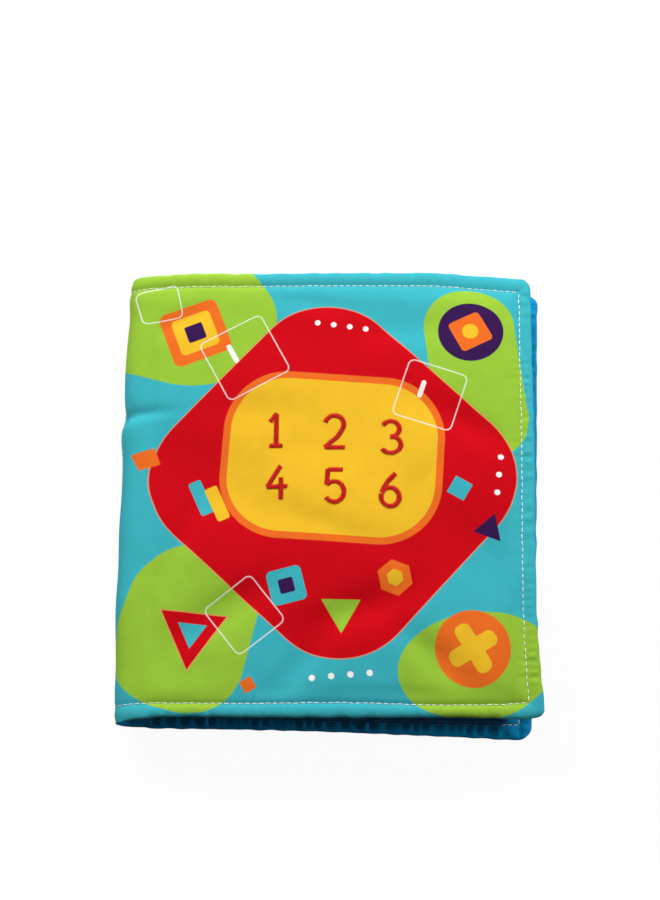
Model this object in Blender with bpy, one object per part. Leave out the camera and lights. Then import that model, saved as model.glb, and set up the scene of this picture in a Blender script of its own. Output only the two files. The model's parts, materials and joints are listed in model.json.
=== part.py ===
# A soft cloth book for a baby, closed and lying on its back cover.
# Three folded, padded sheets lie in one another and are sewn through one seam at the spine,
# which gives six leaves. A leaf is a fabric panel above, a fabric panel below and wadding between
# them, and a topstitch holds the three together round its open edges.
# Metres, +Z up. X runs from the spine to the fore edge and Y from the lower edge to the upper edge.
# The model is worked out from the seam, at X = 0 and Y = 0, and then centred over its base.

import math

import bpy
import bmesh
import numpy as np
from mathutils import Vector

collection_name = "cloth_book"
leaf_names = ("back_cover", "leaf_4", "leaf_3", "leaf_2", "leaf_1", "front_cover")

# Outline of the covers and the inner leaves
cover_width = 0.200
cover_height = 0.224
inner_fore_recess = 0.009
inner_end_recess = 0.003
corner_radius = 0.006
side_draw_in = 0.002
end_bow = 0.0011

# The lowest leaf lies askew under the front cover, and the leaves between follow it in part.
fore_lean = 0.009
fore_push = 0.001
fore_slip = 0.0038
fore_flare = 0.0026
skew_shares = (1.0, 0.8, 0.7, 0.5, 0.3, 0.0)

# Fabric, thread and the clearance between pieces that touch
fabric_thickness = 0.0005
layer_gap = 0.0003
topstitch_radius = 0.0002
spine_thread_radius = 0.0005

# Half thickness of a padded leaf at its open edge, where the edge turns, on the margin roll, in
# the stitched groove, on the shoulder inside it and on the crown, with how far inside each lies
edge_half = 0.00065
turn_half = 0.0011
roll_half = 0.00145
groove_half = 0.00075
shoulder_half = 0.00155
crown_half = 0.00175
turn_reach = 0.001
roll_reach = 0.0032
margin_width = 0.0065
shoulder_reach = 0.012
crown_reach = 0.045
wadding_inset = 0.0082

# Half thickness of a leaf near the seam, with the distance from the seam
seam_half = 0.00025
seam_start = 0.0009
root_half = 0.0007
root_start = 0.0035
spine_half = 0.0015
root_end = 0.015

# How the leaves leave the seam: angle above or below level, and the pull of each bend
root_angles = (math.radians(14.5), math.radians(42), math.radians(70))
root_pulls = (0.0015, 0.002, 0.003)
level_pulls = (0.006, 0.004, 0.008)

# Spacing of the leaves at the spine and on the page, and how the pile sinks towards its corners
spine_spacing = 0.0033
page_spacing = 0.0042
spacing_reach = 0.090
end_sink_share = 0.25
corner_sink_share = 0.75
rest_flat_depth = 0.0005

# The folded middles of the inner sheets, drawn tight behind the spine thread
fold_radius = 0.00115
fold_gap = 0.0004

# Grid cells along and across a leaf inside its margins, finer on the panel that shows
page_cells = (4, 5)
shown_cells = (9, 10)
root_shares = (0.0, 0.25, 0.5, 0.75, 1.0)
wadding_root_shares = (0.5, 0.75, 1.0)
thread_sides_resolution = 0

sheet_colors = {
    "teal": (0.025, 0.42, 0.50, 1.0),
    "blue": (0.005, 0.25, 0.60, 1.0),
    "yellow": (0.90, 0.56, 0.06, 1.0),
    "lime": (0.30, 0.58, 0.06, 1.0),
    "coral": (0.80, 0.10, 0.06, 1.0),
    "purple": (0.06, 0.015, 0.12, 1.0),
    "white": (0.85, 0.85, 0.83, 1.0),
}
upper_colors = ("blue", "lime", "yellow", "teal", "coral", "teal")
lower_colors = ("teal", "yellow", "coral", "lime", "purple", "yellow")


def smooth(value):
    value = min(max(value, 0.0), 1.0)
    return value * value * (3.0 - 2.0 * value)


def new_material(name, color, roughness):
    material = bpy.data.materials.new(name)
    material.use_nodes = True
    shader = material.node_tree.nodes["Principled BSDF"]
    shader.inputs["Base Color"].default_value = color
    shader.inputs["Roughness"].default_value = roughness
    shader.inputs["Metallic"].default_value = 0.0
    material.diffuse_color = color
    return material


def leaf_width(index):
    inner = 0 < index < len(leaf_names) - 1
    return cover_width - (inner_fore_recess if inner else 0.0)


def leaf_height(index):
    inner = 0 < index < len(leaf_names) - 1
    return cover_height - (2.0 * inner_end_recess if inner else 0.0)


def root_half_at(distance):
    steps = (seam_start, root_start, root_end, root_end + crown_reach)
    return float(np.interp(distance, steps, (seam_half, root_half, spine_half, crown_half)))


def edge_half_at(distance):
    steps = (0.0, turn_reach, roll_reach, margin_width, shoulder_reach, crown_reach)
    halves = (edge_half, turn_half, roll_half, groove_half, shoulder_half, crown_half)
    return float(np.interp(distance, steps, halves))


def body_half_at(distance):
    # The padded thickness without the stitched groove, which is what the pile rests on
    steps = (0.0, shoulder_reach, crown_reach)
    return float(np.interp(distance, steps, (roll_half, shoulder_half, crown_half)))


def pile_at(x, y):
    # Height of the lowest leaf's middle and the spacing of the leaves above it
    along = min(max(x / cover_width, 0.0), 1.0)
    across = min(abs(2.0 * y / cover_height), 1.0)
    inside = min(cover_width - x, cover_height / 2.0 - abs(y))
    body = min(body_half_at(max(inside, 0.0)), root_half_at(x))
    flat = rest_flat_depth * smooth((body - shoulder_half) / (crown_half - shoulder_half))
    sink = across ** 3 * (end_sink_share + corner_sink_share * along ** 3)
    reach = min(max((x - root_end) / spacing_reach, 0.0), 1.0)
    rise = reach * (2.0 - reach) * (1.0 - sink)
    spacing = spine_spacing + (page_spacing - spine_spacing) * rise
    return body - flat, spacing


def seam_height():
    base, spacing = pile_at(root_end, 0.0)
    return base + spacing * (len(leaf_names) - 1) / 2.0


def seam_place():
    return Vector((0.0, 0.0, seam_height()))


def root_point(index, share, y):
    # A bend from the seam's own direction to the leaf's level: its place and its unit normal
    middle = (len(leaf_names) - 1) / 2.0
    side = 1.0 if index > middle else -1.0
    rank = int(abs(index - middle))
    angle = side * root_angles[rank]
    away = Vector((math.cos(angle), 0.0, math.sin(angle)))
    base, spacing = pile_at(root_end, y)
    start = seam_place() + away * root_start
    end = Vector((root_end, 0.0, base + index * spacing))
    bend_1 = start + away * root_pulls[rank]
    bend_2 = end - Vector((level_pulls[rank], 0.0, 0.0))
    rest = 1.0 - share
    place = (start * rest ** 3 + bend_1 * 3.0 * rest * rest * share
             + bend_2 * 3.0 * rest * share * share + end * share ** 3)
    along = ((bend_1 - start) * rest * rest + (bend_2 - bend_1) * 2.0 * rest * share
             + (end - bend_2) * share * share).normalized()
    normal = Vector((-along.z, 0.0, along.x))
    return place, normal


def leaf_columns(index, first_inset, root_part, cells):
    # Grid lines from the seam to the fore edge: a root share, or a distance from the seam
    width = leaf_width(index)
    inner = width - shoulder_reach
    step = (inner - root_end) / cells[0]
    columns = [("root", share) for share in root_part]
    columns += [("page", root_end + step * k) for k in range(1, cells[0] + 1)]
    edge_lines = [first_inset] if first_inset else [margin_width, roll_reach, turn_reach, 0.0]
    columns += [("page", width - line) for line in edge_lines]
    return columns


def leaf_rows(index, first_inset, cells):
    # Grid lines across the leaf, as distances from its middle line
    half = leaf_height(index) / 2.0
    inner = half - shoulder_reach
    step = 2.0 * inner / cells[1]
    edge_lines = [first_inset] if first_inset else [0.0, turn_reach, roll_reach, margin_width]
    lower = [line - half for line in edge_lines]
    middle = [step * k - inner for k in range(cells[1] + 1)]
    return lower + middle + [-line for line in reversed(lower)]


def corner_cut(distance):
    # How far the rounded corner stands back at a distance from the end of the leaf
    if distance >= corner_radius:
        return 0.0
    return corner_radius - math.sqrt(corner_radius ** 2 - (corner_radius - distance) ** 2)


def bowed(index, reach, row):
    # The ends of a leaf bow out in the middle. Only the lowest leaf lies straight.
    bow = 0.0 if index == 0 else end_bow * (2.0 * reach - 1.0) ** 2
    return row - 2.0 * row / leaf_height(index) * bow


def leaf_point(index, column, row, offset_side, inner_offset):
    # A point of the leaf: its middle surface, moved along the normal by its half thickness less
    # the inner offset, up where offset_side is 1 and down where it is -1
    width = leaf_width(index)
    half = leaf_height(index) / 2.0
    from_end = half - abs(row)
    skew = skew_shares[index]
    kind, value = column
    if kind == "page":
        reach = value / width
        across = row / half
        lean = skew * (fore_push + fore_lean * across / 2.0)
        pull = (1.0 - skew) * side_draw_in * (1.0 - across * across) + corner_cut(from_end)
        x = value + smooth(reach) * (lean - pull)
        flare = reach * skew * (fore_flare * across - fore_slip)
        y = bowed(index, reach, row) + flare
        base, spacing = pile_at(x, y)
        place = Vector((x, y, base + index * spacing))
        normal = Vector((0.0, 0.0, 1.0))
        thickness = min(root_half_at(value), edge_half_at(min(width - value, from_end)))
    elif kind == "root":
        place, normal = root_point(index, value, row)
        place.y = bowed(index, place.x / width, row)
        distance = (place - seam_place() - Vector((0.0, place.y, 0.0))).length
        thickness = min(root_half_at(distance), edge_half_at(from_end))
    else:
        start, normal = root_point(index, 0.0, row)
        place = seam_place() + (start - seam_place()).normalized() * value
        place.y = bowed(index, place.x / width, row)
        thickness = min(root_half_at(value), edge_half_at(from_end))
    return place + normal * offset_side * (thickness - inner_offset)


def build_layer(name, index, columns, rows, upper, lower, color, floors):
    # One layer of a leaf: a flat grid is given two sides, and each of its points is then placed.
    # upper and lower are (side, inner offset) pairs, and floors the lowest height of each side.
    bm = bmesh.new()
    across = len(columns) - 1
    along = len(rows) - 1
    bmesh.ops.create_grid(bm, x_segments=across, y_segments=along, size=0.5)
    bmesh.ops.solidify(bm, geom=bm.faces[:], thickness=1.0)
    heights = [vert.co.z for vert in bm.verts]
    middle = (min(heights) + max(heights)) / 2.0
    for vert in bm.verts:
        column = columns[round((vert.co.x + 0.5) * across)]
        row = rows[round((vert.co.y + 0.5) * along)]
        (side, inner_offset), floor = (upper, floors[0]) if vert.co.z > middle else (lower, floors[1])
        place = leaf_point(index, column, row, side, inner_offset)
        place.z = max(place.z, floor)
        vert.co = place - seam_place()
    bmesh.ops.recalc_face_normals(bm, faces=bm.faces[:])
    mesh = bpy.data.meshes.new(name)
    bm.to_mesh(mesh)
    bm.free()
    mesh.materials.append(new_material(name + "_material", sheet_colors[color], 0.85))
    mesh.shade_smooth()
    return bpy.data.objects.new(name, mesh)


def panel_cells(index, side):
    shown = index == len(leaf_names) - 1 and side > 0.0
    return shown_cells if shown else page_cells


def build_panel(index, side):
    # A fabric panel on the upper or the lower side of its leaf. A cover's outer panel runs on to
    # the seam, and the others stop short of it.
    outermost = index == len(leaf_names) - 1 and side > 0.0 or index == 0 and side < 0.0
    cells = panel_cells(index, side)
    columns = leaf_columns(index, 0.0, root_shares, cells)
    if outermost:
        columns = [("seam", seam_start)] + columns
    rows = leaf_rows(index, 0.0, cells)
    outside, inside = (side, 0.0), (side, fabric_thickness)
    if side > 0.0:
        name = leaf_names[index] + "_upper_fabric"
        return build_layer(name, index, columns, rows, outside, inside, upper_colors[index], (0.0, 0.0))
    name = leaf_names[index] + "_lower_fabric"
    floors = (fabric_thickness, 0.0)
    return build_layer(name, index, columns, rows, inside, outside, lower_colors[index], floors)


def build_wadding(index):
    name = leaf_names[index] + "_wadding"
    columns = leaf_columns(index, wadding_inset, wadding_root_shares, page_cells)
    rows = leaf_rows(index, wadding_inset, page_cells)
    inner = fabric_thickness + layer_gap
    return build_layer(name, index, columns, rows, (1.0, inner), (-1.0, inner), "white", (inner, inner))


def tube(name, path, radius, resolution, color):
    curve = bpy.data.curves.new(name, "CURVE")
    curve.dimensions = "3D"
    curve.bevel_depth = radius
    curve.bevel_resolution = resolution
    curve.use_fill_caps = True
    spline = curve.splines.new("POLY")
    spline.points.add(len(path) - 1)
    for point, place in zip(spline.points, path):
        point.co = (place.x, place.y, place.z, 1.0)
    curve.materials.append(new_material(name + "_material", sheet_colors[color], 0.6))
    return bpy.data.objects.new(name, curve)


def build_topstitch(index, label, side):
    # A lockstitch has a needle thread in the upper groove and a bobbin thread in the lower one,
    # which both follow the grid lines of the fabric.
    cells = panel_cells(index, side)
    inner_width = leaf_width(index) - margin_width + layer_gap
    inner_half = leaf_height(index) / 2.0 - margin_width + layer_gap
    columns = [column for column in leaf_columns(index, 0.0, root_shares[-1:], cells)
               if column[0] == "root" or column[1] < inner_width]
    rows = [row for row in leaf_rows(index, 0.0, cells) if abs(row) < inner_half]
    stations = [(column, rows[0]) for column in columns]
    stations += [(columns[-1], row) for row in rows[1:]]
    stations += [(column, rows[-1]) for column in reversed(columns[:-1])]
    lift = -(layer_gap + topstitch_radius)
    path = [leaf_point(index, column, row, side, lift) - seam_place() for column, row in stations]
    return tube(leaf_names[index] + label, path, topstitch_radius, thread_sides_resolution, "white")


def build_spine():
    half = cover_height / 2.0 - end_bow - edge_half
    seam_path = [Vector((0.0, -half, 0.0)), Vector((0.0, half, 0.0))]
    thread = tube("spine_seam_thread", seam_path, spine_thread_radius, 1, "white")
    inner_half = leaf_height(1) / 2.0 - end_bow - edge_half
    offset = spine_thread_radius + fold_gap + fold_radius
    fold_path = [Vector((offset, -inner_half, 0.0)), Vector((offset, inner_half, 0.0))]
    fold = tube("inner_sheet_fold", fold_path, fold_radius, 2, "yellow")
    return [thread, fold]


def evaluated_bounds(objects):
    bpy.context.view_layer.update()
    graph = bpy.context.evaluated_depsgraph_get()
    places = []
    for item in objects:
        shape = item.evaluated_get(graph)
        mesh = shape.to_mesh()
        places += [shape.matrix_world @ vert.co for vert in mesh.vertices]
        shape.to_mesh_clear()
    low = Vector([min(place[axis] for place in places) for axis in range(3)])
    high = Vector([max(place[axis] for place in places) for axis in range(3)])
    return low, high


def main():
    for item in list(bpy.data.objects):
        bpy.data.objects.remove(item, do_unlink=True)
    book = bpy.data.collections.new(collection_name)
    bpy.context.scene.collection.children.link(book)

    parts = []
    for index, name in enumerate(leaf_names):
        hinge = bpy.data.objects.new(name + "_hinge", None)
        hinge.location = seam_place()
        book.objects.link(hinge)
        pieces = [build_panel(index, 1.0), build_panel(index, -1.0), build_wadding(index)]
        pieces += [build_topstitch(index, "_needle_thread", 1.0)]
        pieces += [build_topstitch(index, "_bobbin_thread", -1.0)]
        if index == 0:
            pieces += build_spine()
        for piece in pieces:
            book.objects.link(piece)
            piece.parent = hinge
        parts += pieces

    low, high = evaluated_bounds(parts)
    shift = Vector(((low.x + high.x) / 2.0, (low.y + high.y) / 2.0, low.z))
    for item in book.objects:
        if item.parent is None:
            item.location -= shift
    print("seam axis", [round(value, 6) for value in seam_place() - shift])
    print("size", [round(value, 5) for value in high - low])


main()
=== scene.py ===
# A soft cloth book for a baby, closed and lying on its back cover.
# Padded leaves are sewn through one seam at the spine. Metres, +Z up: X runs from the spine to
# the fore edge and Y from the lower edge to the upper edge.
import json
import math

import bpy
import numpy as np
from mathutils import Matrix, Vector


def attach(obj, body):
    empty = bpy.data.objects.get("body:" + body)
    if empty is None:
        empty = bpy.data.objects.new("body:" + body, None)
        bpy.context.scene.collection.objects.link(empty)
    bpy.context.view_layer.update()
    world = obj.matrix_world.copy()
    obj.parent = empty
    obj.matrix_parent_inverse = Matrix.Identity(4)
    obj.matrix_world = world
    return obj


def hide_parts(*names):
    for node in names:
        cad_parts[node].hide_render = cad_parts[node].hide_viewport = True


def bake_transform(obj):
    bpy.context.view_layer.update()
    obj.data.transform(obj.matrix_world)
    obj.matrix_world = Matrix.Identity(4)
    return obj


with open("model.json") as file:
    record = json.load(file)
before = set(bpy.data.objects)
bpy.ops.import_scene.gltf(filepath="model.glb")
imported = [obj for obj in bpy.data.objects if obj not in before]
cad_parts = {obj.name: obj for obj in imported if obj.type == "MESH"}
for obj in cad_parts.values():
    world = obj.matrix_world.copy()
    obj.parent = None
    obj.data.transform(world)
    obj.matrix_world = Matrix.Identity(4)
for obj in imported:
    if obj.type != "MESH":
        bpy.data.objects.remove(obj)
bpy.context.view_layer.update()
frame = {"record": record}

leafNames = ("back_cover", "leaf_4", "leaf_3", "leaf_2", "leaf_1", "front_cover")
top = len(leafNames) - 1
mm = 0.001
seam = np.array(frame["record"]["behaviour"]["joints"][0]["pos_m"])
print("frame loaded, seam at", seam)

# The pile of leaves, in the sizes that its solids have
pile = {
    "coverWidth": 200 * mm, "coverHeight": 224 * mm,
    "innerForeRecess": 9 * mm, "innerEndRecess": 3 * mm,
    "sideDrawIn": 2 * mm, "endBow": 1.1 * mm,
    "foreLean": 9 * mm, "forePush": 1 * mm, "foreSlip": 3.8 * mm, "foreFlare": 2.6 * mm,
    "skewShares": (1.0, 0.8, 0.7, 0.5, 0.3, 0.0),
    "rollHalf": 1.45 * mm, "shoulderHalf": 1.55 * mm, "crownHalf": 1.75 * mm,
    "stitchInset": 6.5 * mm, "shoulderReach": 12 * mm, "crownReach": 45 * mm,
    "rootHalf": 0.7 * mm, "rootStart": 3.5 * mm, "spineHalf": 1.5 * mm, "rootEnd": 15 * mm,
    "rootAngles": (14.5, 42, 70), "rootPulls": (1.5 * mm, 2 * mm, 3 * mm),
    "levelPulls": (6 * mm, 4 * mm, 8 * mm),
    "spineSpacing": 3.3 * mm, "pageSpacing": 4.2 * mm, "spacingReach": 90 * mm,
    "endSink": 0.25, "cornerSink": 0.75, "restFlat": 0.5 * mm,
}

rootStart, rootEnd = pile["rootStart"], pile["rootEnd"]

# How a sewn edge swells: distance from the edge and half thickness there
edgeProfile = (
    (0, 0), (0.1, 0.4), (0.3, 0.68), (0.7, 0.98), (1.3, 1.22), (2.2, 1.4), (3.2, 1.45),
    (4.4, 1.32), (5.4, 1.05), (6.1, 0.78), (6.5, 0.66), (6.9, 0.78), (7.8, 1.08), (9.4, 1.36),
    (12, 1.55), (20, 1.62), (45, 1.75), (400, 1.75),
)


def smooth(value):
    value = np.clip(value, 0.0, 1.0)
    return value * value * (3.0 - 2.0 * value)


def eased(value, points):
    # A smooth line through points that are spaced unevenly
    xs, ys = np.array(points, float).T
    slope = np.gradient(ys, xs)
    k = np.clip(np.searchsorted(xs, value, side="right") - 1, 0, len(xs) - 2)
    step = xs[k + 1] - xs[k]
    t = np.clip((value - xs[k]) / step, 0.0, 1.0)
    a, b = ys[k], ys[k + 1]
    return (a * (1 + 2 * t) * (1 - t) ** 2 + slope[k] * step * t * (1 - t) ** 2
            + b * t * t * (3 - 2 * t) + slope[k + 1] * step * t * t * (t - 1))


def bezier(t, a, b, c, d):
    # A point of a curve between a and d, and the way in which the curve runs there
    place = (1 - t) ** 3 * a + 3 * t * (1 - t) ** 2 * b + 3 * t * t * (1 - t) * c + t ** 3 * d
    slope = (1 - t) ** 2 * (b - a) + 2 * t * (1 - t) * (c - b) + t * t * (d - c)
    return place, slope


def placed(name, data):
    made = bpy.data.objects.new(name, data)
    bpy.context.scene.collection.objects.link(made)
    return made


# How many waves make up a random field, and about how high their sum rises
driftWaves, driftPeak = 7, 3.2
rippleWaves, ripplePeak = 5, 2.6
tiny = 1e-9


def drift(x, y, seed, size):
    # A soft random field between about -1 and 1, whose swells are about size across
    draw = np.random.default_rng(seed)
    total = 0.0
    for _ in range(driftWaves):
        way, phase, stretch = draw.uniform(0, math.tau), draw.uniform(0, math.tau), draw.uniform(0.7, 1.7)
        total = total + np.sin((x * math.cos(way) + y * math.sin(way)) * math.tau / (size * stretch) + phase)
    return total / driftPeak


def ripple(t, seed, size):
    # Uneven waves along a line, about size apart and between about -1 and 1
    draw = np.random.default_rng(seed)
    total = 0.0
    for _ in range(rippleWaves):
        total = total + np.sin(t * math.tau / (size * draw.uniform(0.7, 1.5)) + draw.uniform(0, math.tau))
    return total / ripplePeak


def leafSize(index):
    inner = 0 < index < top
    width = pile["coverWidth"] - (pile["innerForeRecess"] if inner else 0.0)
    height = pile["coverHeight"] - (2.0 * pile["innerEndRecess"] if inner else 0.0)
    return width, height


def insetsOf(index, u, v):
    # Distances from the fore edge and from the nearer end
    width, height = leafSize(index)
    return width - u, height / 2 - np.abs(v)


def rootHalfAt(u):
    steps = (0.0, rootStart, rootEnd, rootEnd + pile["crownReach"])
    return np.interp(u, steps, (0.0, pile["rootHalf"], pile["spineHalf"], pile["crownHalf"]))


def pileAt(x, y):
    # Height of the lowest leaf's middle and the spacing of the leaves above it
    along = np.clip(x / pile["coverWidth"], 0, 1)
    across = np.minimum(np.abs(2 * y / pile["coverHeight"]), 1)
    inside = np.minimum(pile["coverWidth"] - x, pile["coverHeight"] / 2 - np.abs(y))
    steps = (0, pile["shoulderReach"], pile["crownReach"])
    body = np.interp(inside, steps, (pile["rollHalf"], pile["shoulderHalf"], pile["crownHalf"]))
    body = np.minimum(body, rootHalfAt(x))
    swelling = (body - pile["shoulderHalf"]) / (pile["crownHalf"] - pile["shoulderHalf"])
    flat = pile["restFlat"] * smooth(swelling)
    sink = across ** 3 * (pile["endSink"] + pile["cornerSink"] * along ** 3)
    reach = np.clip((x - rootEnd) / pile["spacingReach"], 0, 1)
    rise = reach * (2 - reach) * (1 - sink)
    return body - flat, pile["spineSpacing"] + (pile["pageSpacing"] - pile["spineSpacing"]) * rise


def bowed(index, reach, v):
    bow = 0.0 if index == 0 else pile["endBow"] * (2 * reach - 1) ** 2
    return v - 2 * v / leafSize(index)[1] * bow


def leafMiddle(index, u, v):
    # The middle surface of a leaf at a distance u from the seam and v from its middle line.
    # Gives x, y, z from the seam's foot and the upper side's direction in x and z.
    width, height = leafSize(index)
    half, skew = height / 2, pile["skewShares"][index]
    reach, across = u / width, v / half
    lean = skew * (pile["forePush"] + pile["foreLean"] * across / 2)
    pull = (1 - skew) * pile["sideDrawIn"] * (1 - across * across)
    x = u + smooth(reach) * (lean - pull)
    y = bowed(index, reach, v) + reach * skew * (pile["foreFlare"] * across - pile["foreSlip"])
    base, spacing = pileAt(x, y)
    z = base + index * spacing

    # Near the seam the leaf bends from its own angle there to its level
    side = 1.0 if index > top / 2 else -1.0
    rank = int(abs(index - top / 2))
    angle = side * math.radians(pile["rootAngles"][rank])
    ax, az = math.cos(angle), math.sin(angle)
    rootBase, rootSpacing = pileAt(np.full_like(v, rootEnd), v)
    t = np.clip((u - rootStart) / (rootEnd - rootStart), 0, 1)
    first = (ax * rootStart, seam[2] + az * rootStart)
    second = (first[0] + ax * pile["rootPulls"][rank], first[1] + az * pile["rootPulls"][rank])
    last = (rootEnd, rootBase + index * rootSpacing)
    third = (last[0] - pile["levelPulls"][rank], last[1])
    (bx, dx), (bz, dz) = (bezier(t, *row) for row in zip(first, second, third, last))
    length = np.hypot(dx, dz)
    near = u < rootStart
    bx, bz = np.where(near, ax * u, bx), np.where(near, seam[2] + az * u, bz)
    root = u < rootEnd
    x, z = np.where(root, bx, x), np.where(root, bz, z)
    y = np.where(root, bowed(index, bx / width, v), y)
    nx, nz = np.where(root, -dz / length, 0.0), np.where(root, dx / length, 1.0)
    return x, y, z, nx, nz


# How outlines and stitch lines stray from straight: place along the edge in millimetres from the
# spine or the middle line, and millimetres outwards or inwards there
outlines = {
    "top": {
        "upper": ((0, 0.4), (16, 0.3), (26, 0.7), (38, 0.6), (54, -0.1), (100, 0), (134, 0.5), (154, 0.9),
                  (168, 0.1), (184, -0.5), (193, -0.9), (200, -1.6)),
        "lower": ((0, 2.4), (7, 2.3), (12, 1.5), (17, 0.6), (24, 0.2), (60, 0.1), (120, 0.0), (172, 0.2),
                  (184, 0.8), (192, 1.1), (196, 0.4), (200, -0.9)),
        "fore": ((-112, 0.3), (-104, 0.0), (-90, -0.6), (-60, -1.0), (-42, -0.4), (-22, 0.1), (0, 0.8),
                 (25, 1.1), (45, 1.1), (65, 0.8), (90, 0.7), (112, 0.2)),
        "corners": (4.5 * mm, 2.6 * mm)},
    "bottom": {
        "upper": ((0, 0), (150, 0), (180, -1.2), (194, -2.9), (200, -3.4)),
        "lower": ((0, 1.5), (15, 1.5), (30, 1.2), (60, 0.6), (100, 0.2), (140, 0.4), (170, 0.6), (190, 0.9),
                  (200, 0.4)),
        "fore": ((-112, -1.3), (-95, -1.0), (-80, -0.5), (-60, 0.0), (112, 0.2)),
        "corners": (4 * mm, 5.5 * mm)},
    "inner": {
        "upper": ((0, -1), (200, -1)),
        "lower": ((0, -0.8), (120, -0.5), (200, -0.3)),
        "fore": ((-112, -4.2), (-98, -3.4), (-80, -1), (-60, 0), (112, 0)),
        "corners": (5 * mm, 4 * mm)},
}
stitchLines = {
    "upper": ((0, 7.0), (24, 7.2), (100, 7.4), (160, 7.5), (185, 8.2), (200, 8.4)),
    "lower": ((0, 6.9), (7, 6.9), (12, 6.7), (17, 6.5), (24, 6.3), (60, 6.3), (118, 6.6), (135, 6.0),
              (150, 5.5), (165, 5.6), (180, 6.1), (190, 7.0), (200, 7.3)),
    "fore": ((-112, 7.2), (-60, 6.8), (20, 6.0), (112, 5.8)),
}
edges = {
    "fade": 16 * mm, "waveDepth": 0.16 * mm, "waveSize": 12 * mm,
    # Over how far a stitch line's stray (in mm), an edge's drift and the relief come in, how far a
    # pad's inner side keeps from the leaf's middle, and what keeps opposite edges from waving alike
    "strayOver": 22, "driftOver": 30 * mm, "reliefOver": 2 * mm, "innerGap": 0.05 * mm, "sideShift": 3,
}


def outlineOf(index):
    return outlines["top" if index == top else "bottom" if index == 0 else "inner"]


def endsOf(lines, u, v):
    return np.where(v > 0, eased(u / mm, lines["upper"]), eased(u / mm, lines["lower"]))


def strayed(index, u, v):
    # Grid lines beside the stitches move to where the stitches run on this leaf
    if index != top:
        return u, v
    fore, end = (far / mm for far in insetsOf(index, u, v))
    inset = pile["stitchInset"] / mm

    def moved(distance, wanted):
        beyond = 1 - smooth((distance - inset) / edges["strayOver"])
        share = np.where(distance < inset, distance / inset, beyond)
        return (wanted - inset) * share

    newU = u - moved(fore, eased(v / mm, stitchLines["fore"])) * mm
    newV = v - np.sign(v) * moved(end, endsOf(stitchLines, u, v)) * mm
    return newU, newV


def edgeDrift(index, u, v):
    # How far a point near the edge moves in x and y, so that no edge is quite straight
    outline = outlineOf(index)
    fore, end = (1 - smooth(far / edges["fade"]) for far in insetsOf(index, u, v))
    dx = edges["waveDepth"] * ripple(v, index + 101, edges["waveSize"])
    dy = edges["waveDepth"] * ripple(u + edges["sideShift"] * np.sign(v), index + 211, edges["waveSize"])
    dx = (dx + eased(v / mm, outline["fore"]) * mm) * fore
    dy = (dy + endsOf(outline, u, v) * mm) * end * np.sign(v)
    return dx, dy


def roundedCorner(index, u, v):
    # Grid lines near a fore corner bend round it, so that the leaf's outline is rounded there
    width, height = leafSize(index)
    radius = np.where(v > 0, *outlineOf(index)["corners"])
    fore, end = insetsOf(index, u, v)
    low, high = np.minimum(fore, end), np.maximum(fore, end)
    turned = high < radius
    turn = math.pi / 4 * (radius - high) / np.maximum(radius - low, tiny)
    newLow = np.where(turned, radius - (radius - low) * np.cos(turn), low)
    newHigh = np.where(turned, radius - (radius - low) * np.sin(turn), high)
    fore, end = np.where(fore < end, newLow, newHigh), np.where(fore < end, newHigh, newLow)
    return width - fore, np.sign(v) * (height / 2 - end)


# Grid lines: spacing on the cover, on the lowest leaf, whose gathers can be seen past the others, on
# the hidden leaves and between seam and page, and which of them the inner sides keep
grids = {"cover": 1.07 * mm, "rim": 1.15 * mm, "hidden": 2.6 * mm, "root": 1.0 * mm,
         "halfStart": 0.5 * mm, "noseLines": 15, "rootSteps": 60,
         "coverKeep": 6, "halfKeep": 3, "keepNear": 20 * mm}


def edgeLines(fine):
    # Distances from the edge at which a pad has grid lines
    lines = (0, .12, .3, .55, .9, 1.35, 1.9, 2.5, 3.2, 4, 4.8, 5.5, 6.05, 6.5, 6.95, 7.5, 8.3, 9.3, 10.5, 12)
    if not fine:
        lines = (0, .3, .8, 1.6, 2.6, 3.8, 5.4, 6.1, 6.5, 6.9, 7.8, 9.6, 12)
    return np.array(lines) * mm


def evenly(start, end, cell):
    return np.linspace(start, end, max(2, round((end - start) / cell) + 1))


def columnsOf(index, fine, cell, first):
    width = leafSize(index)[0]
    root = evenly(first, rootEnd, grids["root"])
    page = evenly(rootEnd, width - pile["shoulderReach"], cell)
    return np.concatenate([root, page[1:], width - edgeLines(fine)[::-1][1:]])


def rowsOf(index, fine, cell):
    half = leafSize(index)[1] / 2
    middle = evenly(-half + pile["shoulderReach"], half - pile["shoulderReach"], cell)
    lines = edgeLines(fine)
    return np.concatenate([lines[:-1] - half, middle, half - lines[::-1][1:]])


# A short cloth simulation gives the cover its billows: a page of cloth, cut a little larger than
# the frame of stitches that holds it, buckles softly over its wadding
billow = {"cell": 11 * mm, "scale": 10, "excess": 0.012, "quality": 5, "bending": 40.0, "damping": 20.0,
          "frames": 30, "start": 0.7 * mm, "startSize": 70 * mm, "startFade": 20 * mm, "smoothing": 8}


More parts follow.
